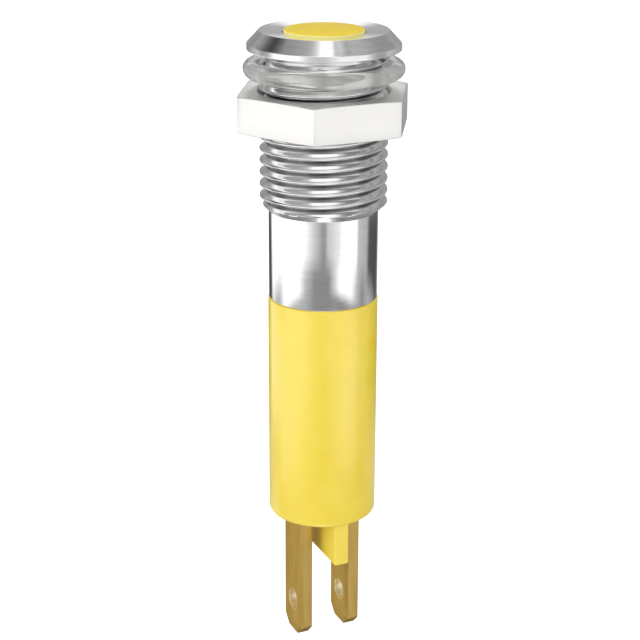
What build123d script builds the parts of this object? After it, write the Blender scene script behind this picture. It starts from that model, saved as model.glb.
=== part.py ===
from build123d import *
import math
import os

os.makedirs("parts", exist_ok=True)

# Panel pilot light for an 8 mm hole, in millimetres.
# The origin is the centre of the ring-shaped face under the head, which seats on the panel.
# +Z runs up through the lens. X is the direction in which the two blades stand side by side.

# Head, threaded neck and smooth barrel: one turned brass piece
head_d = 9.5
crown_d = 8.0
head_h = 1.15
rim_h = 0.35
rim_edge = 0.06
dish = 0.12
thread_d = 8.0
thread_pitch = 0.75
thread_depth = 0.6 * thread_pitch
thread_flat = thread_pitch / 8
thread_sides = 24
thread_l = 10.0
undercut = 0.05
barrel_d = 6.9
barrel_l = 15.8
barrel_wall = 0.45
bore_d = barrel_d - 2 * barrel_wall
window_d = 5.1
window_step = 1.4
window_bottom = -window_step

# How far a cutting tool runs past the surface that it cuts through
past = 1.0

# Clearances between parts that go together
glue_gap = 0.05
slot_gap = 0.05
led_gap = 0.05
dome_gap = 0.25
nut_gap = 0.05
stand_off = 0.05
hole_gap = 0.075
board_gap = 0.25
wall_gap = 0.2
resin_gap = 0.1

# Lens, with a hollow behind it for the dome of the diode
lens_d = window_d - 2 * glue_gap
lens_proud = 0.04
lens_edge = 0.14
lens_t = 1.44
flange_h = 0.8
lens_front = head_h + lens_proud

# Sealing ring, stretched over the thread so that its inner side is pressed flat
ring_cord = 1.0
ring_press = 0.02
ring_drop = 0.67
ring_sides = 12
ring_r = ring_cord / 2 + ring_press
ring_middle = -ring_drop - ring_r
ring_bottom = ring_middle - ring_r

# Hexagon nut, a little over one turn of the thread away from the ring
nut_wall = 1.0
nut_af = thread_d + 2 * nut_wall
nut_h = 2.3
nut_drop = 0.8
nut_face_over = 0.5
nut_slope = 14.0
nut_mouth = 0.25
nut_top = ring_bottom - nut_drop

# Rear housing of coloured plastic
housing_over = 0.1
housing_d = barrel_d + housing_over
housing_l = 14.9
housing_edge = 0.25
sleeve_wall = 0.35
sleeve_d = bore_d - 2 * glue_gap
cavity_d = sleeve_d - 2 * sleeve_wall
base_h = 1.5
rib_t = 1.0
rib_h = 2.9
housing_bottom = -barrel_l - housing_l
base_inner = housing_bottom + base_h

# Light-emitting diode of 3 mm diameter
led_d = 3.0
led_flange_d = 3.8
led_flange_h = 1.0
led_h = 5.3
led_flat = 0.3
lead_pitch = 2.54
lead_s = 0.5
lead_root = 0.5
lead_neck = 1.1
post_h = 2.7
post_w = 0.3
arm_h = 2.4
arm_t = 0.3
lead_lift = 0.05
cup_d = 1.24
cup_h = 0.45
cup_wall = 0.12
led_top = lens_front - lens_t - dome_gap
led_base = led_top - led_h

# White holder that centres the diode behind the lens
holder_skirt = 0.4
holder_top = window_bottom - flange_h
holder_bottom = led_base - holder_skirt

# Circuit board, standing on edge between the tails of the two terminals
board_t = 1.0
board_lift = 3.0
led_to_board = 2.4
board_w = 2 * math.sqrt((cavity_d / 2 - board_gap) ** 2 - (board_t / 2) ** 2)
board_top = led_base - led_to_board
board_bottom = base_inner + board_lift
anode_overlap = 2.0
cathode_overlap = 1.6
anode_end = board_top - anode_overlap
cathode_end = board_top - cathode_overlap

# Blade terminals, stamped from strip, with a narrow tail that is set over to the board
blade_w = 2.8
blade_t = 0.8
blade_l = 8.9
blade_corner = 0.7
blade_round = 0.4
blade_hole_d = 1.4
blade_hole_up = 2.35
tail_w = 1.6
tail_overlap = 2.5
tail_edge = 0.15
bend_r = 0.4
blade_gap = board_t + 2 * blade_t
blade_tip = housing_bottom - blade_l
tail_top = board_bottom + tail_overlap

# Solder
joint_h = 0.4
joint_land = 0.12
joint_slope = 0.8
joint_over = 0.22
joint_side = 0.5
joint_below = 0.35
joint_above = 1.2
tail_joint_h = 0.6
tail_joint_above = 0.4

# Series resistor on one face of the board, protection diode on the other
wire_d = 0.45
wire_sides = 12
wire_run = 0.84
wire_bend = 0.4
wire_proud = 0.05
resistor_d = 1.7
resistor_l = 3.4
resistor_cap = 0.8
resistor_waist = 0.12
resistor_off = 0.3
resistor_clear = 1.26
diode_d = 1.4
diode_l = 3.0
diode_end = 0.3
diode_clear = 0.96

# Resin poured over the base, up past the lower edge of the board
resin_cover = 0.8
resin_top = board_bottom + resin_cover

face_x = board_t / 2
resistor_x = face_x + stand_off + resistor_d / 2
resistor_half = resistor_l / 2 + wire_run
resistor_z = tail_top + resistor_clear + resistor_half
diode_x = -face_x - stand_off - diode_d / 2
diode_half = diode_l / 2 + wire_run
diode_z = min(anode_end, cathode_end) - diode_clear - diode_half
diode_reach = cavity_d / 2 - wall_gap - diode_d / 2
diode_y = -math.sqrt(diode_reach**2 - diode_x**2)


def turned(points):
    """A solid turned about Z from the half outline given as (radius, height) points."""
    outline = Polyline(*[(r, 0, z) for r, z in points], close=True)
    return revolve(make_face(outline), Axis.Z, 360)


def rod(d, bottom, top):
    """A plain round bar on the Z axis."""
    return Pos(0, 0, (top + bottom) / 2) * Cylinder(d / 2, top - bottom)


def block(x0, x1, y0, y1, z0, z1):
    """A box given by its limits along the three axes."""
    return Pos((x0 + x1) / 2, (y0 + y1) / 2, (z0 + z1) / 2) * Box(x1 - x0, y1 - y0, z1 - z0)


def strip(points, width):
    """A flat strip: an outline of (x, z) points, thickened evenly to both sides of y = 0."""
    outline = Polyline(*[(x, 0, z) for x, z in points], close=True)
    return extrude(make_face(outline), width / 2, dir=(0, 1, 0), both=True)


def rounded(r, z, edge, up, steps):
    """Outline points that round off an outer edge at radius r and height z, from side to end."""
    points = []
    for k in range(steps + 1):
        turn = math.pi / 2 * k / steps
        points.append((r - edge + edge * math.cos(turn), z - up * (edge - edge * math.sin(turn))))
    return points


def edges_near(part, axis, x, z):
    """Straight edges along an axis whose middle lies at the given x and z."""
    found = []
    for edge in part.edges().filter_by(axis):
        middle = edge @ 0.5
        if abs(middle.X - x) < 0.001 and abs(middle.Z - z) < 0.001:
            found.append(edge)
    return found


def ridge():
    """One ridge of the thread: a narrow land between two sloping flanks, drawn with flat sides."""
    outline = RegularPolygon(thread_d / 2, thread_sides)
    flank = (thread_pitch - thread_flat) / 2
    fall = thread_depth * math.cos(math.pi / thread_sides)
    slope = extrude(outline, flank, taper=math.degrees(math.atan(fall / flank)))
    upper = Pos(0, 0, thread_flat / 2) * slope
    return extrude(outline, thread_flat / 2, both=True) + upper + Rot(180, 0, 0) * upper


def thread():
    """Threaded stretch as ridges with the thread's pitch and section. One lies inside the sealing ring."""
    top = ring_middle + math.floor(-ring_middle / thread_pitch) * thread_pitch
    count = math.floor((thread_l - thread_depth + top) / thread_pitch) + 1
    start = top + thread_pitch / 2
    core = RegularPolygon(thread_d / 2 - thread_depth, thread_sides)
    core = Pos(0, 0, start) * extrude(core, -thread_l - start)
    one = ridge()
    return core + [Pos(0, 0, top - k * thread_pitch) * one for k in range(count)]


def bezel_housing():
    """Head, threaded neck and smooth barrel, open behind for the cartridge and in front for the lens."""
    rh = head_d / 2
    rn = thread_d / 2 - thread_depth - undercut
    rb = barrel_d / 2
    outline = [
        (0, head_h - dish),
        (window_d / 2, head_h - dish),
        (crown_d / 2, head_h),
        (rh, rim_h),
        (rh, 0),
        (rn, 0),
        (rn, -thread_l),
        (rb, -thread_l),
        (rb, -barrel_l),
        (0, -barrel_l),
    ]
    body = turned(outline)
    circles = body.edges().filter_by(GeomType.CIRCLE)
    rims = [edge for edge in circles if abs(edge.center().Z - rim_h) < 0.001]
    body = chamfer(rims, rim_edge) + thread()
    bore = rod(bore_d, -barrel_l - past, window_bottom)
    window = rod(window_d, window_bottom - past, head_h + past)
    return body - bore - window


def lens():
    """Round window with a rounded front edge, a flange behind it and a hollow for the diode.

    The end of the hollow is a flat with a 45 degree cone around it, clear of the diode's dome.
    """
    hollow_r = led_d / 2 + dome_gap
    dome_z = led_top - led_d / 2
    near = hollow_r * math.tan(math.pi / 8)
    front = rounded(lens_d / 2, lens_front, lens_edge, 1, 2)
    back = [
        (0, dome_z + hollow_r),
        (near, dome_z + hollow_r),
        (hollow_r, dome_z + near),
        (hollow_r, holder_top),
        (sleeve_d / 2, holder_top),
        (sleeve_d / 2, window_bottom),
        (lens_d / 2, window_bottom),
    ]
    return turned(back + front + [(0, lens_front)])


def led_holder():
    """White ring that carries the diode: its bore takes the body, its counterbore the flange."""
    shoulder = led_base + led_flange_h
    ring = rod(sleeve_d, holder_bottom, holder_top)
    ring = ring - rod(led_d + 2 * led_gap, holder_bottom - past, holder_top + past)
    ring = ring - rod(led_flange_d + 2 * led_gap, holder_bottom - past, shoulder)
    return ring


def lead_outline(end, side):
    """Outline of a diode lead from its lower end on the board up into the foot of the diode."""
    inner = side * (lead_pitch - lead_s) / 2
    outer = side * (lead_pitch + lead_s) / 2
    on_board = side * face_x
    off_board = side * (face_x + lead_s)
    low = board_top + lead_lift
    high = led_base - lead_neck
    root = led_base + lead_root
    left = [(on_board, end), (on_board, low), (inner, high), (inner, root)]
    right = [(outer, root), (outer, high), (off_board, low), (off_board, end)]
    return left, right


def anode_lead():
    """Longer lead. Inside the diode it narrows to a slim post that stands beside the cup."""
    left, right = lead_outline(anode_end, 1)
    middle = (lead_pitch - lead_s) / 2
    neck = led_base + lead_neck
    top = led_base + post_h
    near = middle - post_w / 2
    far = middle + post_w / 2
    return strip(left + [(near, neck), (near, top), (far, top), (far, neck)] + right, lead_s)


def cathode_lead():
    """Shorter lead. Inside the diode it widens into an arm that carries a small cup."""
    left, right = lead_outline(cathode_end, -1)
    top = led_base + arm_h
    under = top - arm_t
    reach = cup_d / 3
    middle = -(lead_pitch - lead_s) / 2
    neck = led_base + lead_neck
    head = [(reach, under), (reach, top), (middle - post_w / 2, top), (middle - post_w / 2, neck)]
    arm = strip(left + head + right, lead_s)
    mouth = cup_d / 2
    lip = mouth - cup_wall
    seat = under + arm_t / 2
    floor = top + cup_wall
    rim = top + cup_h
    cup = turned([(0, seat), (lip, seat), (mouth, rim), (lip, rim), (lip / 2, floor), (0, floor)])
    return arm + cup


def led_body():
    """Clear moulded body with a domed top, and a flange with one flat on the cathode side."""
    dome = rounded(led_d / 2, led_top, led_d / 2, 1, 4)
    body = turned([(0, led_base), (led_d / 2, led_base)] + dome)
    flange = rod(led_flange_d, led_base, led_base + led_flange_h)
    edge = led_flange_d / 2 - led_flat
    r = led_flange_d / 2
    cut = block(-r - past, -edge, -r, r, led_base - past, led_base + led_flange_h + past)
    body = body + (flange - cut)
    return body - anode_lead() - cathode_lead()


def fine_bar(d, length):
    """Thin bar along X, drawn with twelve sides, as the fine wires are."""
    return Rot(0, 90, 0) * extrude(RegularPolygon(d / 2, wire_sides), length / 2, both=True)


def circuit_board():
    """Narrow board with two wire holes for each of the parts that lie along it."""
    board = block(-face_x, face_x, -board_w / 2, board_w / 2, board_bottom, board_top)
    hole = fine_bar(wire_d + 2 * hole_gap, board_t + 2 * past)
    for z in (resistor_z - resistor_half, resistor_z + resistor_half):
        board = board - Pos(0, resistor_off, z) * hole
    for z in (diode_z - diode_half, diode_z + diode_half):
        board = board - Pos(0, diode_y, z) * hole
    return board


def bent_wire(axis_x, body_l, step):
    """Round wire from the end of a body at height zero, turned in two 45 degree steps, through the board."""
    side = 1 if axis_x > 0 else -1
    start = step * body_l / 2
    turn = step * (body_l / 2 + wire_run)
    far = -side * (face_x + joint_h + wire_proud)
    before = (axis_x, 0, turn - step * wire_bend)
    after = (axis_x - side * wire_bend, 0, turn)
    path = Polyline((axis_x, 0, start), before, after, (far, 0, turn))
    end = Plane(origin=(axis_x, 0, start), z_dir=(0, 0, step))
    return sweep(end * RegularPolygon(wire_d / 2, wire_sides), path=path, transition=Transition.RIGHT)


def resistor_lead(step):
    """Upper (1) or lower (-1) wire of the resistor."""
    return Pos(0, resistor_off, resistor_z) * bent_wire(resistor_x, resistor_l, step)


def diode_lead(step):
    """Upper (1) or lower (-1) wire of the protection diode."""
    return Pos(0, diode_y, diode_z) * bent_wire(diode_x, diode_l, step)


def resistor_body():
    """Round resistor whose two pressed end caps stand out a little from its middle."""
    r = resistor_d / 2
    h = resistor_l / 2
    waist = r - resistor_waist
    top = rounded(r, h, resistor_cap / 3, 1, 1)
    bottom = rounded(r, -h, resistor_cap / 3, -1, 1)
    step = h - resistor_cap
    middle = [(r, -step), (waist, -step), (waist, step), (r, step)]
    body = turned([(0, -h)] + bottom[::-1] + middle + top + [(0, h)])
    return Pos(resistor_x, resistor_off, resistor_z) * body


def diode_body():
    """Small glass bead with rounded ends."""
    h = diode_l / 2
    top = rounded(diode_d / 2, h, diode_end, 1, 1)
    bottom = rounded(diode_d / 2, -h, diode_end, -1, 1)
    return Pos(diode_x, diode_y, diode_z) * turned([(0, -h)] + bottom[::-1] + top + [(0, h)])


def mound(side, low, high, width, height):
    """Sloping mound of solder on one face of the board, narrower at its top."""
    x0 = side * face_x
    x1 = side * (face_x + height)
    slope = height * joint_slope
    side_view = strip([(x0, low), (x0, high), (x1, high - slope), (x1, low + slope)], width)
    plan = Polyline(
        (x0, -width / 2, low),
        (x0, width / 2, low),
        (x1, width / 4, low),
        (x1, -width / 4, low),
        close=True,
    )
    return side_view & extrude(make_face(plan), high - low, dir=(0, 0, 1))


def wire_joint(side, y, z):
    """Solder around the end of a wire, on the face of the board."""
    half = wire_d / 2 + hole_gap + joint_land
    wire = fine_bar(wire_d, board_t + 2 * joint_h + 2 * past)
    return Pos(0, y, z) * (mound(side, -half, half, 2 * half, joint_h) - wire)


def led_joint(lead, side, end):
    """Solder that holds one diode lead on the board."""
    width = lead_s + 2 * joint_side
    return mound(side, end - joint_below, end + joint_above, width, lead_s + joint_over) - lead


def blade_joint(side, terminal):
    """Solder that holds the tail of one blade on the board, above the resin."""
    low = resin_top + resin_gap
    high = tail_top + tail_joint_above
    return mound(side, low, high, tail_w + 2 * joint_side, tail_joint_h) - terminal


def blade(side):
    """Blade with cut corners and a wire hole. Its tail steps in over the base to the board."""
    x0 = blade_gap / 2
    x1 = x0 + blade_t
    hw = blade_w / 2
    knee = base_inner + blade_t
    outline = Polyline(
        (x0, -hw, base_inner),
        (x0, -hw, blade_tip + blade_corner),
        (x0, -hw + blade_corner, blade_tip),
        (x0, hw - blade_corner, blade_tip),
        (x0, hw, blade_tip + blade_corner),
        (x0, hw, base_inner),
        close=True,
    )
    flat = extrude(make_face(outline), blade_t, dir=(1, 0, 0))
    corners = edges_near(flat, Axis.X, x0 + blade_t / 2, blade_tip + blade_corner)
    flat = fillet(corners, blade_round)
    hole = Rot(0, 90, 0) * Cylinder(blade_hole_d / 2, blade_t + 2 * past)
    flat = flat - Pos(x0 + blade_t / 2, 0, blade_tip + blade_hole_up) * hole
    tail = strip(
        [
            (face_x, base_inner),
            (x1, base_inner),
            (x1, knee),
            (x0, knee),
            (x0, tail_top),
            (face_x, tail_top),
        ],
        tail_w,
    )
    outer_bends = edges_near(tail, Axis.Y, face_x, base_inner) + edges_near(tail, Axis.Y, x1, knee)
    tail = fillet(outer_bends, bend_r)
    tail = chamfer(tail.edges().filter_by(Axis.Y).group_by(Axis.Z)[-1], tail_edge)
    part = flat + tail
    return part if side > 0 else Rot(0, 0, 180) * part


def rear_housing():
    """Cup of coloured plastic. Its thin sleeve fills the barrel and its base holds the blades."""
    r = housing_d / 2
    sleeve = [
        (0, base_inner),
        (cavity_d / 2, base_inner),
        (cavity_d / 2, holder_bottom),
        (sleeve_d / 2, holder_bottom),
        (sleeve_d / 2, -barrel_l),
        (r, -barrel_l),
    ]
    body = turned(sleeve + rounded(r, housing_bottom, housing_edge, -1, 3) + [(0, housing_bottom)])
    reach = r - housing_edge
    middle = housing_bottom + base_h / 2
    body = body + block(-rib_t / 2, rib_t / 2, -reach, reach, housing_bottom - rib_h, middle)
    for side in (-1, 1):
        centre = side * (blade_gap + blade_t) / 2
        half = blade_t / 2 + slot_gap
        wide = blade_w / 2 + slot_gap
        low = housing_bottom - slot_gap
        high = base_inner + slot_gap
        body = body - block(centre - half, centre + half, -wide, wide, low, high)
    return body


def sealing_ring():
    """Clear rubber ring that grips the thread with a narrow flat band. Its section is a fine polygon."""
    grip_r = thread_d / 2
    centre_r = grip_r + ring_cord - ring_r
    section = []
    for k in range(ring_sides):
        turn = 2 * math.pi * (k + 0.5) / ring_sides
        section.append((centre_r + ring_r * math.cos(turn), ring_r * math.sin(turn)))
    section = [(max(r, grip_r), z) for r, z in section]
    return Pos(0, 0, ring_middle) * turned(section)


def hex_nut():
    """Hexagon nut with softly sloped corners. A corner points along X. The bore is plain."""
    prism = extrude(RegularPolygon(nut_af / 2, 6, major_radius=False, rotation=0), nut_h)
    flat_r = (nut_af + nut_face_over) / 2
    edge_r = nut_af / 2 / math.cos(math.pi / 6) + past
    drop = (edge_r - flat_r) * math.tan(math.radians(nut_slope))
    side = [(flat_r, 0), (edge_r, drop), (edge_r, nut_h - drop), (flat_r, nut_h)]
    envelope = turned([(0, 0)] + side + [(0, nut_h)])
    bore_r = thread_d / 2 + nut_gap
    mouth_r = bore_r + nut_mouth
    bore = turned(
        [
            (0, -past),
            (mouth_r, -past),
            (mouth_r, 0),
            (bore_r, nut_mouth),
            (bore_r, nut_h - nut_mouth),
            (mouth_r, nut_h),
            (mouth_r, nut_h + past),
            (0, nut_h + past),
        ]
    )
    return Pos(0, 0, nut_top - nut_h) * ((prism & envelope) - bore)


def potting_resin(*inside):
    """Resin poured over the base, around the tails of the blades and the end of the board."""
    fill = rod(cavity_d, base_inner, resin_top)
    for piece in inside:
        fill = fill - piece
    return fill


def save(shape, name):
    """Write one sub-part to its own file."""
    shape.label = name
    export_step(shape, "parts/" + name + ".step")
    print(name, "volume", round(shape.volume, 3), "solids", len(shape.solids()))


anode = anode_lead()
cathode = cathode_lead()
board = circuit_board()
blade_left = blade(-1)
blade_right = blade(1)

save(bezel_housing(), "bezel_housing")
save(lens(), "lens")
save(led_holder(), "led_holder")
save(led_body(), "led_body")
save(anode, "led_anode_lead")
save(cathode, "led_cathode_lead")
save(board, "circuit_board")
save(resistor_body(), "resistor_body")
save(resistor_lead(1), "resistor_lead_upper")
save(resistor_lead(-1), "resistor_lead_lower")
save(diode_body(), "diode_body")
save(diode_lead(1), "diode_lead_upper")
save(diode_lead(-1), "diode_lead_lower")
save(led_joint(anode, 1, anode_end), "solder_anode")
save(led_joint(cathode, -1, cathode_end), "solder_cathode")
save(wire_joint(-1, resistor_off, resistor_z + resistor_half), "solder_resistor_upper")
save(wire_joint(-1, resistor_off, resistor_z - resistor_half), "solder_resistor_lower")
save(wire_joint(1, diode_y, diode_z + diode_half), "solder_diode_upper")
save(wire_joint(1, diode_y, diode_z - diode_half), "solder_diode_lower")
save(blade_joint(-1, blade_left), "solder_blade_left")
save(blade_joint(1, blade_right), "solder_blade_right")
save(blade_left, "blade_left")
save(blade_right, "blade_right")
save(rear_housing(), "rear_housing")
save(potting_resin(blade_left, blade_right, board), "potting_resin")
save(sealing_ring(), "sealing_ring")
save(hex_nut(), "hex_nut")
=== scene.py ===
# %% Load the solids
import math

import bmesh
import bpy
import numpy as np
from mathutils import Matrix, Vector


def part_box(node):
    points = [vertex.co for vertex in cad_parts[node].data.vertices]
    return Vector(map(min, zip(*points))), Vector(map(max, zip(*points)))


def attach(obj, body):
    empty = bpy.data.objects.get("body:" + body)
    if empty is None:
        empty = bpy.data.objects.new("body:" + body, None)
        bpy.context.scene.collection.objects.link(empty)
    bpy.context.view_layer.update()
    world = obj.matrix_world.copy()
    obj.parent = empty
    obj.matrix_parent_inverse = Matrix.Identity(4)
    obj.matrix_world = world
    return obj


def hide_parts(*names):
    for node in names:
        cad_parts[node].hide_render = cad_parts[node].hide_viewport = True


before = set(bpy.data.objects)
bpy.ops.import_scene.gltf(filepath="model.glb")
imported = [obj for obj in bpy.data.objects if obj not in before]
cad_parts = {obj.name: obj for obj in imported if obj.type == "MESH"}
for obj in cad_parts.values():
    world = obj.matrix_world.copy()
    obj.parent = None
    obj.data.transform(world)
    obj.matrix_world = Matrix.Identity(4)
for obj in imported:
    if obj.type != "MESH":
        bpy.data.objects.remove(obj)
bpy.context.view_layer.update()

# %% [markdown]
# This script dresses a panel pilot light: a small lamp that sits in an 8 mm hole of a panel.
# The solids of the lamp are already in the scene, in metres, with +Z out through the lens.
# Everything below is worked out in that same frame, so no piece has to be fitted by hand.

MM = 0.001

# %% [markdown]
# Most pieces of the lamp were turned on a lathe or moulded round, so most surfaces here are a grid:
# one parameter runs round the axis and the other along the profile.
# The grid is computed as one array. Then every cell of it becomes a face.
# Points that fall together, at a pole or at a seam, are merged, and all faces are turned outwards.

# %% From a grid of points to a mesh
def skin(name, grid, wrap_columns=True, wrap_rows=False, sharp=32):
    """A piece from a grid of points in millimetres: grid[row, column] = (x, y, z).

    The face of a cell joins (row, column), (row, column + 1), (row + 1, column + 1) and (row + 1, column).
    """
    rows, columns = grid.shape[:2]
    index = np.arange(rows * columns).reshape(rows, columns)
    down = np.roll(index, -1, axis=0)
    right = np.roll(index, -1, axis=1)
    both = np.roll(down, -1, axis=1)
    cells = np.stack([index, right, both, down], axis=-1)
    if not wrap_rows:
        cells = cells[:-1]
    if not wrap_columns:
        cells = cells[:, :-1]
    return piece_from(name, grid.reshape(-1, 3) * MM, cells.reshape(-1, 4), sharp)


def piece_from(name, points, faces, sharp=32):
    """A piece from points in metres and faces: merged, turned outwards, smooth up to a sharp angle."""
    mesh = bpy.data.meshes.new(name)
    mesh.from_pydata(points.tolist(), [], faces.tolist())
    work = bmesh.new()
    work.from_mesh(mesh)
    bmesh.ops.remove_doubles(work, verts=work.verts, dist=0.0005 * MM)
    bmesh.ops.recalc_face_normals(work, faces=work.faces)
    work.to_mesh(mesh)
    work.free()
    smooth(mesh, sharp)
    piece = bpy.data.objects.new(name, mesh)
    bpy.context.scene.collection.objects.link(piece)
    print(name, len(mesh.polygons), "faces")
    return piece


def smooth(mesh, sharp):
    """Smooth shading, except at edges that bend by more than an angle in degrees."""
    mesh.shade_smooth()
    mesh.set_sharp_from_angle(angle=math.radians(sharp))


# %% [markdown]
# No edge on a real turned or moulded part is perfectly sharp. A tiny round there catches the light,
# and that thin bright line is what makes metal look like metal. So a profile is written as a few corner
# points, each with a radius, and this function puts an arc into every corner that has one.
# Smooth shading blends the directions at both ends of a long face. Next to an arc that bends a flat
# mirror, so a profile can ask for one more point close to each arc, which keeps the flat face flat.

# %% A profile with rounded corners
def soften(corners, closed=True, steps=4, hold=0.0):
    """Points of a profile. Each corner is (r, z, radius), and the radius is replaced by an arc.

    The arc touches both sides at a distance of radius / tan(half the angle between them). With hold,
    each arc gets one more point on both sides, that far away.
    """
    points = []
    count = len(corners)
    for k, (r, z, radius) in enumerate(corners):
        here = np.array([r, z])
        if radius == 0 or (not closed and k in (0, count - 1)):
            points.append(here[None])
            continue
        before = np.array(corners[k - 1][:2]) - here
        after = np.array(corners[(k + 1) % count][:2]) - here
        before = before / np.linalg.norm(before)
        after = after / np.linalg.norm(after)
        half = np.arccos(np.clip(before @ after, -1, 1)) / 2
        middle = (before + after) / np.linalg.norm(before + after)
        centre = here + middle * radius / np.sin(half)
        reach = radius / np.tan(half)
        start = here + before * reach - centre
        end = here + after * reach - centre
        share = np.linspace(0, 1, steps + 1)[:, None]
        bend = np.arccos(np.clip(start @ end / radius**2, -1, 1))
        arc = centre + (np.sin((1 - share) * bend) * start + np.sin(share * bend) * end) / np.sin(bend)
        if hold:
            arc = np.concatenate([[here + before * (reach + hold)], arc, [here + after * (reach + hold)]])
        points.append(arc)
    return np.concatenate(points)


def turned_grid(profile, columns=144):
    """Grid of a turned surface: each profile point (r, z) goes round the axis in equal steps."""
    angle = np.linspace(0, 2 * np.pi, columns, endpoint=False)
    r, z = profile[:, 0, None], profile[:, 1, None]
    return np.stack([r * np.cos(angle), r * np.sin(angle), z + 0 * angle], axis=-1)


# %% [markdown]
# The thread is a fine one: 8 mm across with 0.75 mm from crest to crest. In the solids it is a row of
# flat-sided ridges that don't climb. Here it gets its real form. A thread is a wave along the barrel
# that climbs by one pitch in each turn, so the radius at any angle and height is one formula. The nut
# uses the same formula with a little more radius, so its thread meshes with the barrel's, and still does
# after a whole turn.

# %% The thread as a formula
pitch = 0.75
crest_r = 8.0 / 2
thread_depth = 0.46
root_r = crest_r - thread_depth
thread_end = -10.0
crest_height = 0.046
crest_angle = math.radians(-114)


def thread_wave(turns):
    """Height of the thread, 0 at the root and 1 at the crest, some turns away from a crest.

    A trapezium with a flat crest and two straight flanks, averaged over a short span to round its corners.
    """
    crest_flat, root_flat, rounding = 0.07, 0.43, 0.035
    shifts = np.linspace(-rounding, rounding, 5)
    total = 0
    for shift in shifts:
        away = np.abs((turns + shift + 0.5) % 1 - 0.5)
        total = total + np.clip((root_flat - away) / (root_flat - crest_flat), 0, 1)
    return total / len(shifts)


def thread_radius(angle, z, gap=0.0):
    """Radius of the thread at an angle and a height, plus a running gap."""
    turns = (z - crest_height) / pitch - (angle - crest_angle) / (2 * np.pi)
    return root_r + gap + thread_depth * thread_wave(turns)


def thread_rows(top, bottom, columns, rows_per_pitch=18):
    """Angles and heights of a grid whose rows climb with the thread, cut off at two heights."""
    angle = np.linspace(0, 2 * np.pi, columns + 1)
    count = int((top - bottom + pitch) / pitch * rows_per_pitch) + 1
    start = top - pitch * np.arange(count)[:, None] / rows_per_pitch
    z = np.clip(start + pitch * angle / (2 * np.pi), bottom, top)
    return angle, z


print("thread: crest", crest_r, "mm, root", round(root_r, 2), "mm, pitch", pitch, "mm")

# %% [markdown]
# The housing of the lamp is one piece of brass, turned from bar, threaded and then chromed: a crown
# with a shallow dish round the lens, a cone, a short straight rim, the thread, and a smooth barrel.
# It could be built as separate rings, but a real turned part has one skin, so this is one grid.
# Its rows go down the outside, through the thread, and back up the bore.

# %% Bezel housing
window_r = 2.55
window_bottom = -1.4
barrel_end = -15.8


def bezel_housing():
    """One turned skin. Outside the thread every row has one radius; in the thread the radius is a wave."""
    columns = 144
    angle = np.linspace(0, 2 * np.pi, columns + 1)
    outside = soften(
        [
            (window_r, window_bottom, 0),
            (window_r, 1.03, 0.04),
            (4.0, 1.15, 0.05),
            (4.75, 0.35, 0.12),
            (4.75, 0.0, 0.03),
            (crest_r, 0.0, 0),
        ],
        closed=False,
        hold=0.02,
    )
    inside = soften(
        [
            (3.45, thread_end, 0),
            (3.45, barrel_end, 0.06),
            (3.0, barrel_end, 0.06),
            (3.0, window_bottom, 0),
            (window_r, window_bottom, 0),
        ],
        closed=False,
    )
    turn, z = thread_rows(0.0, thread_end, columns)
    end_cone = root_r + (z - thread_end)
    r = np.minimum(thread_radius(turn, z), end_cone)
    ones = np.ones(columns + 1)
    radius = np.concatenate([outside[:-1, :1] * ones, r, inside[:, :1] * ones])
    height = np.concatenate([outside[:-1, 1:] * ones, z, inside[:, 1:] * ones])
    grid = np.stack([radius * np.cos(angle), radius * np.sin(angle), height], axis=-1)
    return skin("bezel", grid, wrap_columns=False, sharp=40)


bezel = bezel_housing()
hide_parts("bezel_housing")
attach(bezel, "lamp")

# %% [markdown]
# The lens is a moulded window of yellow plastic. It stands a hair above the crown, and its front edge
# is well rounded. Behind, it has a flange that rests on a step in the housing and a hollow for the dome
# of the diode. All of it is round, so one closed profile turned about the axis is enough.

# %% Lens
lens_r = 2.5
lens_top = 1.19


def lens_window():
    """A closed profile of the window, its flange and its hollow, turned about the axis."""
    profile = soften(
        [
            (0, lens_top, 0),
            (lens_r, lens_top, 0.14),
            (lens_r, window_bottom, 0),
            (2.95, window_bottom, 0.05),
            (2.95, -2.2, 0.05),
            (1.75, -2.2, 0),
            (1.75, -1.275, 0.2),
            (0.725, -0.25, 0.2),
            (0, -0.25, 0),
        ],
        closed=False,
    )
    return skin("lens_window", turned_grid(profile))


lens = lens_window()
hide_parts("lens")
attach(lens, "lamp")

# %% [markdown]
# The sealing ring is a clear rubber ring that has been rolled up the thread. A ring like that is a
# torus, but where it grips the thread it is pressed flat, so its section is a circle with its inner
# side cut off at the crest of the thread.

# %% Sealing ring
def clear_ring():
    """A circle of the cord's radius carried round the axis, no nearer to it than the crest of the thread."""
    low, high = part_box("sealing_ring")
    cord = (high.z - low.z) / MM / 2
    middle_r = high.x / MM - cord
    middle_z = (high.z + low.z) / MM / 2
    around = np.linspace(0, 2 * np.pi, 40, endpoint=False)
    r = np.maximum(middle_r + cord * np.cos(around), crest_r)
    profile = np.stack([r, middle_z + cord * np.sin(around)], axis=-1)
    return skin("clear_ring", turned_grid(profile), wrap_rows=True, sharp=60)


ring = clear_ring()
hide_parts("sealing_ring")
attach(ring, "lamp")

# %% [markdown]
# The nut is a thin hexagon nut. Its corners slope away a little at both ends, where the bar was
# chamfered on the lathe. A hexagon can be written as a radius that changes with the angle, so the nut
# can be a grid like the turned parts: from the mouth of the bore, over the flat end, down the side and
# back up the thread. Where the slope begins, the radius is the smaller of the flat's and the hexagon's.

# %% Hexagon nut
nut_low, nut_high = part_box("hex_nut")
nut_bottom, nut_top = nut_low.z / MM, nut_high.z / MM
across_flats = (nut_high.y - nut_low.y) / MM


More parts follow.
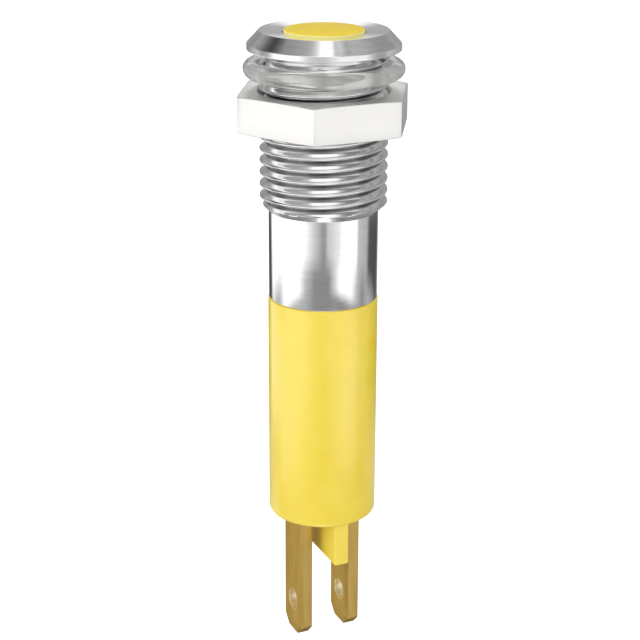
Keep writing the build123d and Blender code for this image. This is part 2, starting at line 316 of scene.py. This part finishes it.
def hexagon_radius(angle):
    """Distance to the sides of a hexagon with a corner on X, its corners rounded by a high power mean."""
    power = 120
    sides = np.radians(30 + 60 * np.arange(6))[:, None]
    reach = np.clip(np.cos(angle - sides), 0, None) / (across_flats / 2)
    return (reach**power).sum(axis=0) ** (-1 / power)


def hexagon_nut():
    """Bore with the thread's wave, flat ends, sloping corners and six sides, as one closed grid."""
    columns = 180
    gap, mouth, lead = 0.05, 0.12, 0.02
    edge = 0.05
    flat_r = across_flats / 2 + 0.25
    slope = math.tan(math.radians(6))
    turn, z = thread_rows(nut_top - lead, nut_bottom + lead, columns)
    mouth_r = crest_r + gap + mouth
    reach = np.minimum(z - nut_bottom, nut_top - z)
    bore = np.maximum(thread_radius(turn, z, gap), mouth_r - reach)
    side = hexagon_radius(turn)
    fall = np.clip(side - flat_r, 0, None) * slope
    ones = np.ones(columns + 1)
    arc = np.linspace(0, np.pi / 2, 5)[:, None]
    corner_r = side - edge + edge * np.sin(arc)
    corner_z = nut_top - fall - edge + edge * np.cos(arc)
    top_r = np.concatenate([(mouth_r + lead) * ones[None], np.minimum(flat_r, side - edge)[None], corner_r])
    top_z = np.concatenate([nut_top * ones[None], nut_top * ones[None], corner_z])
    bottom_z = nut_top + nut_bottom - top_z[::-1]
    radius = np.concatenate([top_r, top_r[::-1], bore[::-1]])
    height = np.concatenate([top_z, bottom_z, z[::-1]])
    grid = np.stack([radius * np.cos(turn), radius * np.sin(turn), height], axis=-1)
    return skin("hexagon_nut", grid, wrap_columns=False, wrap_rows=True, sharp=28)


nut = hexagon_nut()
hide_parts("hex_nut")
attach(nut, "nut")

# %% [markdown]
# The next two pieces have holes and joined-on parts that aren't round, and cutting and joining whole
# bodies is simpler there than a formula. These helpers make a block, join or cut with a boolean, and
# apply it, so that the mesh itself has the shape.

# %% Helpers for joining and cutting
def slab(name, low, high, edge=0.0):
    """A closed block between two corners in millimetres, its edges rounded by a bevel."""
    low, high = np.array(low), np.array(high)
    pick = np.array([[a, b, c] for a in (0, 1) for b in (0, 1) for c in (0, 1)])
    points = low + pick * (high - low)
    faces = [[0, 1, 3, 2], [4, 6, 7, 5], [0, 4, 5, 1], [2, 3, 7, 6], [0, 2, 6, 4], [1, 5, 7, 3]]
    block = piece_from(name, points * MM, np.array(faces))
    if edge:
        bevel = block.modifiers.new("edge", "BEVEL")
        bevel.width = edge * MM
        bevel.segments = 4
        settle(block)
    return block


def settle(piece):
    """Applies the piece's modifiers, so that its mesh is what shows."""
    view = bpy.context.evaluated_depsgraph_get()
    mesh = bpy.data.meshes.new_from_object(piece.evaluated_get(view))
    old = piece.data
    piece.modifiers.clear()
    piece.data = mesh
    bpy.data.meshes.remove(old)


def combine(piece, other, operation):
    """Joins another body to the piece, or cuts it out, and removes the other."""
    step = piece.modifiers.new("combine", "BOOLEAN")
    step.operation = operation
    step.solver = "EXACT"
    step.object = other
    bpy.context.view_layer.update()
    settle(piece)
    bpy.data.objects.remove(other)


# %% [markdown]
# The rear housing is a moulded cup of yellow plastic. A thin sleeve, hidden in the barrel, carries it.
# Its base has two slots for the terminals and a flat rib between them, which keeps their connectors
# apart. The cup is a turned profile. The rib is joined on, and the slots are cut out.

# %% Rear housing
housing_r = 7.0 / 2
housing_bottom = -30.7
base_inner = -29.2
blade_middle = 1.7
rib_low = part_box("rear_housing")[0].z / MM


def rear_housing():
    """A turned cup with a softly rounded rim, a rounded rib joined on and two slots cut through its base."""
    profile = soften(
        [
            (0, base_inner, 0),
            (2.6, base_inner, 0.1),
            (2.6, -6.2, 0),
            (2.95, -6.2, 0.05),
            (2.95, barrel_end, 0),
            (housing_r, barrel_end, 0.08),
            (housing_r, housing_bottom, 0.3),
            (0, housing_bottom, 0),
        ],
        closed=False,
        steps=6,
    )
    cup = skin("rear_cup", turned_grid(profile))
    rib = slab("rib", (-0.5, -3.25, rib_low), (0.5, 3.25, housing_bottom + 0.8), 0.12)
    combine(cup, rib, "UNION")
    half_t, half_w = 0.45, 1.45
    for side in (-1, 1):
        middle = side * blade_middle
        low = (middle - half_t, -half_w, housing_bottom - 1)
        high = (middle + half_t, half_w, base_inner + 0.3)
        combine(cup, slab("slot", low, high), "DIFFERENCE")
    smooth(cup.data, 32)
    return cup


rear_cup = rear_housing()
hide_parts("rear_housing")
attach(rear_cup, "lamp")
print("rear cup", len(rear_cup.data.polygons), "faces after joining and cutting")

# %% [markdown]
# Each terminal is a strip of brass, 0.8 mm thick, cut to a blade with a tapered tip. Above the base it
# narrows to a tail that steps inwards to the circuit board. A strip is a section carried along a path:
# here the section is a rectangle with rounded edges, and its width is a function of the way along.

# %% Path and width of a terminal
blade_t = 0.8
blade_half_w = 2.8 / 2
tail_half_w = 1.6 / 2
blade_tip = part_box("blade_right")[0].z / MM
tail_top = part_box("blade_right")[1].z / MM


def strip_path():
    """Centre line of the strip: up, a quarter turn inwards, a quarter turn up again, and to the tail's end.

    Returns the way's points as x and z, and the direction of each as an angle from +Z towards the middle.
    """
    taper = np.concatenate([np.linspace(0, 0.9, 13), np.linspace(1.0, base_inner - blade_tip, 12)])
    rise = np.stack([0 * taper + blade_middle, blade_tip + taper, 0 * taper], axis=-1)
    bend = np.linspace(0, np.pi / 2, 9)
    half = blade_t / 2
    first_x = blade_middle - half * (1 - np.cos(bend))
    first_z = base_inner + half * np.sin(bend)
    second_x = blade_middle - half - half * np.sin(bend)
    second_z = base_inner + blade_t - half * np.cos(bend)
    first = np.stack([first_x, first_z, bend], axis=-1)
    second = np.stack([second_x, second_z, np.pi / 2 - bend], axis=-1)
    last = np.array([[blade_middle - blade_t, tail_top, 0]])
    return np.concatenate([rise, first[1:], second[1:], last])


def strip_half_width(z):
    """Half the width at a height: the tip's corners are cut at 45 degrees, and the tail is narrower."""
    corner = 0.7
    width = np.minimum(blade_half_w, blade_half_w - corner + (z - blade_tip))
    return np.where(z > base_inner + 0.02, tail_half_w, width)


print("blade from", round(blade_tip, 2), "mm up to the tail's end at", round(tail_top, 2), "mm")

# %% [markdown]
# The strip gets its section here, and both ends are closed. The wire hole is cut with a turned cutter
# that flares at both ends, which leaves a rounded edge. The left terminal is the right one turned by
# half a turn about the lamp's axis.

# %% Blade terminals
hole_z = blade_tip + 2.35
hole_r = 1.4 / 2


def rounded_section(edge, steps=4):
    """Round the section: for each point, its place on the corner's arc and the corner it belongs to."""
    corner = np.linspace(0, np.pi / 2, steps)
    section = []
    for across, along in ((1, 1), (-1, 1), (-1, -1), (1, -1)):
        sweep = corner if across * along > 0 else corner[::-1]
        arc = [edge * across * np.cos(sweep), edge * along * np.sin(sweep)]
        section.append(np.stack([*arc, 0 * sweep + across, 0 * sweep + along], axis=-1))
    return np.concatenate(section).T


def strip_body(edge=0.07):
    """The rounded rectangle carried along the strip's centre line, closed at both ends.

    A point lies at path + t across the strip, turned with the path, and at w along Y.
    """
    path = strip_path()
    tip = path[:1].repeat(3, axis=0)
    tip[:, 1] = blade_tip + np.array([0, 0.25 * edge, edge])
    path = np.concatenate([tip, path[path[:, 1] > blade_tip + edge]])
    inset = np.zeros(len(path))
    inset[:3] = np.array([edge, 0.4 * edge, 0.0])
    half_w = strip_half_width(path[:, 1]) - inset
    half_t = blade_t / 2 - inset
    arc_t, arc_w, across, along = rounded_section(edge)
    t = arc_t + across * (half_t[:, None] - edge)
    w = arc_w + along * (half_w[:, None] - edge)
    x = path[:, :1] + t * np.cos(path[:, 2:])
    z = path[:, 1:2] + t * np.sin(path[:, 2:])
    body = np.stack([x, w, z], axis=-1)
    ends = body[[0, -1]].mean(axis=1, keepdims=True).repeat(body.shape[1], axis=1)
    return np.concatenate([ends[:1], body, ends[1:]])


def hole_cutter(side):
    """A turned cutter for the wire hole: a cylinder that flares at 45 degrees beyond both faces."""
    half, reach, flare = blade_t / 2, 0.9, 0.5
    profile = soften(
        [
            (0, -reach, 0),
            (hole_r + flare, -reach, 0),
            (hole_r, -half, 0.1),
            (hole_r, half, 0.1),
            (hole_r + flare, reach, 0),
            (0, reach, 0),
        ],
        closed=False,
    )
    beyond = np.abs(profile[:, 1]) - half
    profile[:, 0] = np.where(beyond > 0, hole_r + 0.07 + beyond, profile[:, 0])
    profile[[0, -1], 0] = 0
    cutter = skin("cutter", turned_grid(profile, 48))
    place = Matrix.Translation((side * blade_middle * MM, 0, hole_z * MM))
    cutter.data.transform(place @ Matrix.Rotation(math.pi / 2, 4, "Y"))
    return cutter


def brass_blade(name, side):
    """The strip, turned to its side of the lamp, with the wire hole cut out."""
    blade = skin(name, strip_body() * np.array([side, side, 1]))
    combine(blade, hole_cutter(side), "DIFFERENCE")
    smooth(blade.data, 40)
    return blade


blades = [brass_blade("brass_blade_left", -1), brass_blade("brass_blade_right", 1)]
for blade, node in zip(blades, ("blade_left", "blade_right")):
    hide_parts(node)
    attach(blade, "lamp")

# %% [markdown]
# Now the finishes. A finish is more than a colour: even a smooth part has faint changes of tone and
# gloss across it. Each recipe below mixes a fine pattern into colour, roughness or height. The patterns
# read Object coordinates, which are metres here, so a scale of 1000 means features about 1 mm across.

# %% Small steps of a finish
def calculate(nodes, links, operation, *values):
    """One Math node. Numbers are typed in, and sockets are linked."""
    step = nodes.new("ShaderNodeMath")
    step.operation = operation
    for socket, value in zip(step.inputs, values):
        if isinstance(value, (int, float)):
            socket.default_value = value
        else:
            links.new(value, socket)
    return step.outputs[0]


def carry(nodes, links, value, start, end, low=0.0, high=1.0):
    """The value carried over from the span start to end to the span low to high, and kept within it."""
    step = nodes.new("ShaderNodeMapRange")
    step.inputs["From Min"].default_value = start
    step.inputs["From Max"].default_value = end
    step.inputs["To Min"].default_value = low
    step.inputs["To Max"].default_value = high
    links.new(value, step.inputs["Value"])
    return step.outputs["Result"]


def blend_colours(nodes, links, share, first, second):
    """The first colour where share is 0 and the second where it is 1."""
    mix = nodes.new("ShaderNodeMix")
    mix.data_type = "RGBA"
    links.new(share, mix.inputs["Factor"])
    for socket, colour in ((mix.inputs[6], first), (mix.inputs[7], second)):
        if isinstance(colour, tuple):
            socket.default_value = colour
        else:
            links.new(colour, socket)
    return mix.outputs[2]


# %% [markdown]
# Noise stays mostly between 0.3 and 0.7, so that is the span from which tone and roughness are read.
# Each finish is one call with its two tones, its span of roughness and the scale of its pattern.

# %% A finish from one pattern
usual_low, usual_high = 0.3, 0.7


def new_finish(name):
    """An empty node material. Returns the material, its nodes, its links and its main shader."""
    material = bpy.data.materials.new(name)
    material.use_nodes = True
    nodes, links = material.node_tree.nodes, material.node_tree.links
    return material, nodes, links, nodes["Principled BSDF"]


def pattern(nodes, links, scale, stretch):
    """Smooth noise on Object coordinates, about 1 / scale metres across, stretched along the axes."""
    place = nodes.new("ShaderNodeTexCoord")
    fit = nodes.new("ShaderNodeMapping")
    fit.inputs["Scale"].default_value = stretch
    noise = nodes.new("ShaderNodeTexNoise")
    noise.inputs["Scale"].default_value = scale
    noise.inputs["Detail"].default_value = 3.0
    links.new(place.outputs["Object"], fit.inputs["Vector"])
    links.new(fit.outputs["Vector"], noise.inputs["Vector"])
    return noise.outputs["Fac"]


def tone(nodes, links, value, dark, light):
    """A colour between dark and light, chosen by the pattern's value."""
    ramp = nodes.new("ShaderNodeValToRGB")
    for element, place, colour in zip(ramp.color_ramp.elements, (usual_low, usual_high), (dark, light)):
        element.position = place
        element.color = (*colour, 1)
    links.new(value, ramp.inputs["Fac"])
    return ramp.outputs["Color"]


def relief(nodes, links, shader, value, height):
    """Gives the surface a relief of some height in metres."""
    bump = nodes.new("ShaderNodeBump")
    bump.inputs["Strength"].default_value = 1.0
    bump.inputs["Distance"].default_value = height
    links.new(value, bump.inputs["Height"])
    links.new(bump.outputs["Normal"], shader.inputs["Normal"])


def finish(name, dark, light, rough, scale, metal=0.0, height=0.0, stretch=(1, 1, 1), **fixed):
    """A finish with a fine pattern in its tone, its roughness and, where height is given, its relief."""
    material, nodes, links, shader = new_finish(name)
    value = pattern(nodes, links, scale, stretch)
    gloss = carry(nodes, links, value, usual_low, usual_high, *rough)
    links.new(tone(nodes, links, value, dark, light), shader.inputs["Base Color"])
    links.new(gloss, shader.inputs["Roughness"])
    shader.inputs["Metallic"].default_value = metal
    for socket, setting in fixed.items():
        shader.inputs[socket].default_value = setting
    if height:
        relief(nodes, links, shader, value, height)
    return material


def coat(target, material):
    """Puts one finish on a piece or a solid in place of what it has."""
    target.data.materials.clear()
    target.data.materials.append(material)


# %% [markdown]
# Some finishes differ from place to place on a piece: at a root, along an edge, at one end. Object
# coordinates say where a point lies, so a height or a distance from an axis can pick out the place.
# Then the colour or the roughness that the finish has so far is changed there and nowhere else.

# %% Helpers for a place on a piece
def reopen(material, socket):
    """The nodes and links of a finish, one socket of its shader, and what feeds that socket so far."""
    nodes, links = material.node_tree.nodes, material.node_tree.links
    target = nodes["Principled BSDF"].inputs[socket]
    return nodes, links, target, target.links[0].from_socket


def height_of(nodes, links):
    """Height of a point on the piece, in metres."""
    place = nodes.new("ShaderNodeTexCoord")
    parts = nodes.new("ShaderNodeSeparateXYZ")
    links.new(place.outputs["Object"], parts.inputs["Vector"])
    return parts.outputs["Z"]


def distance_from(nodes, links, keep, shift=(0, 0, 0)):
    """Distance from an axis, in metres: the length of the place times keep, plus shift."""
    place = nodes.new("ShaderNodeTexCoord")
    across = nodes.new("ShaderNodeVectorMath")
    across.operation = "MULTIPLY_ADD"
    across.inputs[1].default_value = keep
    across.inputs[2].default_value = shift
    length = nodes.new("ShaderNodeVectorMath")
    length.operation = "LENGTH"
    links.new(place.outputs["Object"], across.inputs[0])
    links.new(across.outputs["Vector"], length.inputs[0])
    return length.outputs["Value"]


# %% [markdown]
# The roots of the thread get painted shade: the colour of the threaded piece falls off towards the root,
# where the grooves would lie in shade. The distance from the axis tells how deep a point lies.
# The smooth barrel below the thread, which lies deeper still, and the head are left out by their height.

# %% Painted shade in the roots of a thread
def paint_root_shade(material, unshaded_r):
    """Painted shade: blends the colour with near black, from the unshaded radius down to the root."""
    nodes, links, target, old = reopen(material, "Base Color")
    most = 0.85
    z = height_of(nodes, links)
    near = carry(nodes, links, distance_from(nodes, links, (1, 1, 0)), root_r * MM, unshaded_r * MM)
    below = carry(nodes, links, z, (thread_end + 0.15) * MM, thread_end * MM)
    above = carry(nodes, links, z, -0.75 * MM, -0.4 * MM)
    clear = calculate(nodes, links, "MAXIMUM", calculate(nodes, links, "MAXIMUM", below, above), near)
    share = calculate(nodes, links, "MULTIPLY_ADD", clear, -most, most)
    links.new(blend_colours(nodes, links, share, old, (0.02, 0.02, 0.02, 1)), target)


# %% [markdown]
# Chrome plating over turned brass is close to a mirror. Very fine rings from the lathe and a slight
# haze are all that keeps it from being perfect. The noise is squeezed along the axis, so that it makes
# faint rings. The nut is plated too, but it was cut from drawn bar, so its haze is a little stronger.

# %% Chrome
chrome = finish(
    "chromed_brass",
    (0.80, 0.80, 0.80),
    (0.88, 0.88, 0.88),
    (0.05, 0.10),
    900,
    metal=1.0,
    height=1e-7,
    stretch=(1, 1, 6),
)
nut_chrome = finish(
    "chromed_nut",
    (0.89, 0.88, 0.855),
    (0.95, 0.94, 0.915),
    (0.34, 0.42),
    700,
    metal=1.0,
    height=1e-7,
)
# Painted shade: the chrome's colour goes near black towards the roots of the thread.
paint_root_shade(chrome, crest_r - 0.37)
coat(bezel, chrome)
coat(nut, nut_chrome)
print("chrome on", bezel.name, "and", nut.name)

# %% [markdown]
# The lens lets light through, so it gets some subsurface scattering. Its edge gets a painted highlight:
# the colour there is lighter than on its top. The height under the top picks out the edge.

# %% Yellow lens
def paint_edge_highlight(material, edge):
    """Painted highlight: blends the colour into a lighter one from just under the top of the window to its
    side.
    """
    nodes, links, target, old = reopen(material, "Base Color")
    z = height_of(nodes, links)
    share = carry(nodes, links, z, (lens_top - 0.01) * MM, (lens_top - 0.08) * MM)
    links.new(blend_colours(nodes, links, share, old, edge), target)


lens_plastic = finish(
    "yellow_lens",
    (0.84, 0.61, 0.022),
    (0.90, 0.67, 0.038),
    (0.40, 0.50),
    700,
    height=2e-7,
    **{
        "Subsurface Weight": 0.12,
        "Subsurface Scale": 0.0004,
        "Subsurface Radius": (1.0, 0.7, 0.2),
        "Specular IOR Level": 0.1,
    },
)
# Painted highlight: the side of the lens is coloured a light yellow.
paint_edge_highlight(lens_plastic, (0.97, 0.90, 0.36, 1))
coat(lens, lens_plastic)
print("yellow lens with an edge that is lighter from", round(lens_top - 0.01, 2), "mm down")

# %% [markdown]
# The rear housing is a dense, glossy moulding with the faintest orange peel. Its rib and closed end
# come from an unpolished part of the mould, so they are duller: below the edge of the closed end the
# roughness is at least a given one.

# %% Yellow housing
def dull_below(material, z, rough):
    """Raises the roughness to at least the given one below a height."""
    nodes, links, target, old = reopen(material, "Roughness")
    share = carry(nodes, links, height_of(nodes, links), (z + 0.05) * MM, (z - 0.05) * MM)
    least = calculate(nodes, links, "MULTIPLY", share, rough)
    links.new(calculate(nodes, links, "MAXIMUM", old, least), target)


housing_plastic = finish(
    "yellow_plastic",
    (0.91, 0.69, 0.042),
    (0.95, 0.73, 0.052),
    (0.17, 0.24),
    600,
    height=4e-7,
    **{"IOR": 1.95},
)
dull_below(housing_plastic, housing_bottom + 0.02, 0.6)
coat(rear_cup, housing_plastic)
print("yellow housing, dull below", housing_bottom, "mm")

# %% [markdown]
# The blades are bare brass, rolled and stamped, and a little dull. Rolling leaves fine lines along the
# strip, so the noise is stretched along Z. The wall of the wire hole gets a painted highlight: the colour
# is a light gold wherever the distance from the hole's axis is no more than its radius.

# %% Brass
def paint_hole_highlight(material, hole_highlight):
    """Painted highlight: blends the colour into a lighter one near the hole's axis, which runs along X."""
    nodes, links, target, old = reopen(material, "Base Color")
    away = distance_from(nodes, links, (0, 1, 1), (0, 0, -hole_z * MM))
    share = carry(nodes, links, away, (hole_r + 0.05) * MM, (hole_r + 0.02) * MM)
    links.new(blend_colours(nodes, links, share, old, hole_highlight), target)


brass = finish(
    "drawn_brass",
    (0.54, 0.36, 0.10),
    (0.64, 0.43, 0.13),
    (0.30, 0.44),
    2200,
    metal=1.0,
    height=6e-7,
    stretch=(1, 1, 0.12),
    **{"Specular Tint": (0.8, 0.68, 0.45, 1)},
)
# Painted highlight: the wall of each wire hole is coloured a light gold.
paint_hole_highlight(brass, (0.97, 0.85, 0.56, 1))
for blade in blades:
    coat(blade, brass)
print("brass on", len(blades), "blades")

# %% [markdown]
# The ring is clear rubber. Light goes in, bends and comes out, so the thread behind it can be guessed.
# Rubber is never as clear as glass, so not all of the light goes through.

# %% Clear rubber
ring_rubber = finish(
    "clear_rubber",
    (0.88, 0.875, 0.855),
    (0.96, 0.955, 0.935),
    (0.04, 0.13),
    1500,
    height=1e-6,
    **{"Transmission Weight": 0.85, "IOR": 1.42},
)
coat(ring, ring_rubber)
print("clear rubber on", ring.name)

# %% [markdown]
# The parts inside are sealed in and don't show, but each still gets the finish of the real thing, so
# that the lamp is right when someone takes it apart.

# %% Parts inside
clear = {"Transmission Weight": 0.8, "IOR": 1.53}
inside_finishes = {
    "led_holder": finish(
        "white_plastic", (0.80, 0.80, 0.77), (0.88, 0.88, 0.86), (0.45, 0.60), 1000, height=2e-6
    ),
    "led_body": finish("clear_epoxy", (0.80, 0.79, 0.72), (0.90, 0.89, 0.84), (0.08, 0.14), 900, **clear),
    "circuit_board": finish(
        "board_laminate", (0.05, 0.19, 0.07), (0.09, 0.28, 0.11), (0.35, 0.50), 1800, height=2e-6
    ),
    "resistor_body": finish(
        "resistor_coat", (0.58, 0.47, 0.28), (0.68, 0.57, 0.36), (0.30, 0.42), 1600, height=1.5e-6
    ),
    "diode_body": finish("diode_glass", (0.62, 0.20, 0.06), (0.75, 0.30, 0.10), (0.06, 0.12), 900),
    "potting_resin": finish(
        "black_resin", (0.012, 0.012, 0.013), (0.03, 0.03, 0.032), (0.25, 0.40), 1300, height=3e-6
    ),
}
tinned = finish(
    "tinned_wire", (0.58, 0.58, 0.57), (0.72, 0.72, 0.71), (0.25, 0.42), 2500, metal=1.0, height=1e-6
)
solder = finish(
    "soft_solder", (0.50, 0.50, 0.50), (0.66, 0.66, 0.65), (0.22, 0.38), 3000, metal=1.0, height=2e-6
)
for node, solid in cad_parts.items():
    if node in inside_finishes:
        coat(solid, inside_finishes[node])
    elif "lead" in node:
        coat(solid, tinned)
    elif "solder" in node:
        coat(solid, solder)
print("finishes inside:", len(inside_finishes), "and the wires and joints")

# %% [markdown]
# Chrome shows the room more than itself. In a photographer's studio that room is drawn with care:
# a wide soft box on the left, a narrower one on the right, and dark cards at both sides that put a
# dark line along each edge of a bright cylinder. Here the world does that job for mirror-like rays only.
# It is a function of direction. A ramp of greys runs round the lamp, and there are six such ramps, one
# above the other: the floor, the bands that the blades, the yellow sleeve and the barrel mirror, the
# horizon and the ceiling. Each stop is degrees round the lamp from the camera's side, and a grey.
# Straight above, the greys run from left to right instead, like the tubes of a long lamp overhead, and
# straight behind the lamp, where the crown looks, they run from low to high.

# %% The studio as greys round the lamp
floor_greys = [
    (-180, 0.3), (-130, 0.3), (-96, 0.32), (-67, 0.4), (-46, 0.55), (-34, 0.8), (-22, 1.5), (30, 1.5),
    (42, 0.85), (54, 0.55), (66, 0.4), (80, 0.25), (95, 0.35), (130, 0.3),
]
blade_greys = [
    (-180, 0.5), (-140, 0.85), (-124, 0.85), (-106, 0.45), (-60, 0.5), (-40, 0.5), (-18, 0.3),
    (14, 0.3), (26, 0.35), (36, 0.3), (90, 0.3), (130, 0.35),
]
sleeve_greys = [
    (-180, 0.3), (-145, 0.45), (-122, 0.4), (-107, 0.6), (-90, 1.4), (-56, 1.4), (-38, 0.6), (-18, 0.3),
    (12, 0.3), (26, 0.8), (38, 1.4), (62, 1.35), (78, 0.6), (94, 0.3), (116, 0.55), (140, 0.55),
]
barrel_greys = [
    (-180, 0.3), (-162, 0.08), (-146, 0.08), (-134, 1.4), (-42, 1.35), (-22, 0.8), (0, 0.34), (5, 0.4),
    (10, 0.68), (34, 1.0), (44, 1.4), (74, 1.35), (80, 0.62), (104, 0.5), (114, 0.1), (150, 0.08),
    (165, 0.3),
]
horizon_greys = [
    (-180, 0.42), (-166, 0.35), (-148, 0.3), (-136, 0.45), (-116, 0.62), (-103, 0.38), (-90, 0.5),
    (-77, 1.3), (-40, 1.3), (-26, 0.8), (-12, 0.66), (0, 0.66), (14, 0.9), (23, 1.05), (64, 1.05),
    (72, 0.68), (84, 0.42), (98, 0.38), (110, 0.6), (126, 0.48), (160, 0.35),
]
ceiling_greys = [
    (-180, 0.5), (-150, 0.46), (-133, 0.3), (-123, 0.12), (-115, 0.06), (-107, 0.14), (-98, 0.32),
    (-62, 0.33), (-50, 0.52), (-24, 0.85), (-8, 1.2), (14, 1.2), (30, 0.62), (54, 0.68), (68, 0.44),
    (96, 0.48), (118, 0.34), (150, 0.32),
]
zenith_greys = [
    (-1, 0.33), (-0.54, 0.33), (-0.3, 0.42), (-0.2, 0.52), (-0.12, 0.8), (-0.06, 1.2), (0.13, 1.2),
    (0.18, 0.62), (0.27, 0.68), (0.36, 0.44), (0.46, 0.5), (1, 0.36),
]
back_low, back_high = -0.1, 0.42
back_greys = [
    (back_low, 0.85), (0.05, 0.75), (0.12, 0.42), (0.245, 0.46), (0.285, 1.15), (back_high, 1.15),
]
rings = (floor_greys, blade_greys, sleeve_greys, barrel_greys, horizon_greys, ceiling_greys)
borders = ((-0.66, -0.58), (-0.475, -0.45), (-0.42, -0.36), (-0.29, -0.19), (0.3, 0.42), (0.8, 0.9))
back_border = (169, 177)
print("studio:", len(rings), "rings with", sum(len(stops) for stops in rings), "stops")

# %% [markdown]
# A direction is turned into three numbers: degrees round the lamp, how far to the right and how high.
# Each ramp reads one of them. From ring to ring the greys blend between two heights, so no hard line
# shows in the chrome. Rays straight from the camera see plain white, and soft light on matt surfaces
# is one even grey.

# %% World
camera_turn = -24


def greys(nodes, links, value, stops, low, high):
    """A ramp of greys over a value. Each stop is (place between low and high, grey)."""
    ramp = nodes.new("ShaderNodeValToRGB")
    elements = ramp.color_ramp.elements
    places = [(place - low) / (high - low) for place, grey in stops]
    elements[0].position, elements[1].position = places[0], places[-1]
    for place in places[1:-1]:
        elements.new(place)
    for element, (place, grey) in zip(elements, stops):
        element.color = (grey, grey, grey, 1)
    links.new(carry(nodes, links, value, low, high), ramp.inputs["Fac"])
    return ramp.outputs["Color"]


def directions(nodes, links):
    """Degrees round the lamp from the camera's side, how far to its right and how high, from -1 to 1."""
    place = nodes.new("ShaderNodeTexCoord")
    parts = nodes.new("ShaderNodeSeparateXYZ")
    links.new(place.outputs["Generated"], parts.inputs["Vector"])
    around = calculate(nodes, links, "ARCTAN2", parts.outputs["Y"], parts.outputs["X"])
    shifted = calculate(nodes, links, "ADD", around, math.radians(90 - camera_turn))
    wrapped = calculate(nodes, links, "WRAP", shifted, math.pi, -math.pi)
    turn = math.radians(camera_turn)
    right = nodes.new("ShaderNodeVectorMath")
    right.operation = "DOT_PRODUCT"
    right.inputs[1].default_value = (math.cos(turn), math.sin(turn), 0)
    links.new(place.outputs["Generated"], right.inputs[0])
    return calculate(nodes, links, "DEGREES", wrapped), right.outputs["Value"], parts.outputs["Z"]


def studio_world():
    """White for the camera, a drawn studio for mirror-like and clear surfaces, an even grey for the rest."""
    world = bpy.data.worlds.new("studio")
    bpy.context.scene.world = world
    world.use_nodes = True
    nodes, links = world.node_tree.nodes, world.node_tree.links
    turn, right, height = directions(nodes, links)
    bands = [greys(nodes, links, turn, stops, -180, 180) for stops in rings]
    bands.append(greys(nodes, links, right, zenith_greys, -1, 1))
    studio = bands[0]
    for band, (start, end) in zip(bands[1:], borders):
        studio = blend_colours(nodes, links, carry(nodes, links, height, start, end), studio, band)
    back = greys(nodes, links, height, back_greys, back_low, back_high)
    away = calculate(nodes, links, "ABSOLUTE", turn)
    studio = blend_colours(nodes, links, carry(nodes, links, away, *back_border), studio, back)
    path = nodes.new("ShaderNodeLightPath").outputs
    mirror = calculate(nodes, links, "MAXIMUM", path["Is Glossy Ray"], path["Is Transmission Ray"])
    even, white = (0.78, 0.78, 0.78, 1), (1, 1, 1, 1)
    seen = blend_colours(nodes, links, mirror, even, studio)
    seen = blend_colours(nodes, links, path["Is Camera Ray"], seen, white)
    links.new(seen, nodes["Background"].inputs["Color"])


studio_world()
print("world: white to the camera, soft boxes and dark cards to chrome")

# %% [markdown]
# Two large soft lamps model the matt surfaces: the main one from the left and a weaker one from the
# right. They aren't seen in the chrome, because the world already draws the soft boxes there.
# The floor lies some way below, since a panel light hangs in its panel and stands on nothing.

# %% Lamps and floor
def soft_lamp(name, place, size, power):
    """A square area lamp that faces the middle of the light."""
    data = bpy.data.lights.new(name, "AREA")
    data.size = size
    data.energy = power
    lamp = bpy.data.objects.new(name, data)
    bpy.context.scene.collection.objects.link(lamp)
    centre = np.array([0, 0, -0.018])
    away = np.array(place) - centre
    away = away / np.linalg.norm(away)
    side = np.cross((0, 0, 1), away)
    side = side / np.linalg.norm(side)
    up = np.cross(away, side)
    turn = Matrix(np.stack([side, up, away], axis=1).tolist()).to_4x4()
    lamp.matrix_world = Matrix.Translation(place) @ turn
    lamp.visible_glossy = False


def pale_floor():
    """A large flat square under the light, left out of mirror-like reflections."""
    reach, z = 2.0, -0.065
    points = np.array([[-reach, -reach, z], [reach, -reach, z], [reach, reach, z], [-reach, reach, z]])
    floor = piece_from("floor", points, np.array([[0, 1, 2, 3]]))
    material, nodes, links, shader = new_finish("pale_floor")
    shader.inputs["Base Color"].default_value = (0.92, 0.92, 0.92, 1)
    shader.inputs["Roughness"].default_value = 0.9
    shader.inputs["Emission Color"].default_value = (1, 1, 1, 1)
    path = nodes.new("ShaderNodeLightPath")
    strength = calculate(nodes, links, "MULTIPLY", path.outputs["Is Camera Ray"], 0.5)
    links.new(strength, shader.inputs["Emission Strength"])
    coat(floor, material)
    floor.visible_glossy = False
    floor.visible_transmission = False


soft_lamp("main_lamp", (-0.28, -0.12, 0.16), 0.35, 0.42)
soft_lamp("fill_lamp", (0.16, -0.26, 0.10), 0.35, 0.12)
pale_floor()

# %% [markdown]
# The camera stands where the photographer's stood. Its place, tilt and focal length were worked out
# from the ellipses of the crown, the thread and the nut, with the thread taken as 8 mm across.

# %% Camera
def photo_camera():
    """A camera at the photograph's angle: turned about the axis, tipped down, and rolled a little."""
    turn = math.radians(camera_turn)
    distance, height = 0.101638, 0.018459
    tip, yaw, roll = math.radians(19.506), math.radians(-0.104), math.radians(0.2418)
    focal_pixels, picture_pixels = 1676.2, 640
    data = bpy.data.cameras.new("camera")
    data.sensor_width = 36
    data.lens = focal_pixels / picture_pixels * data.sensor_width
    data.clip_start, data.clip_end = 0.005, 10
    camera = bpy.data.objects.new("camera", data)
    bpy.context.scene.collection.objects.link(camera)
    place = Matrix.Translation((math.sin(turn) * distance, -math.cos(turn) * distance, height))
    aim = Matrix.Rotation(turn - yaw, 4, "Z") @ Matrix.Rotation(math.pi / 2 - tip, 4, "X")
    camera.matrix_world = place @ aim @ Matrix.Rotation(roll, 4, "Z")
    bpy.context.scene.camera = camera
    print("camera", round(distance / MM, 1), "mm from the axis, lens", round(data.lens, 1), "mm")


photo_camera()
bpy.context.scene.view_settings.view_transform = "Standard"
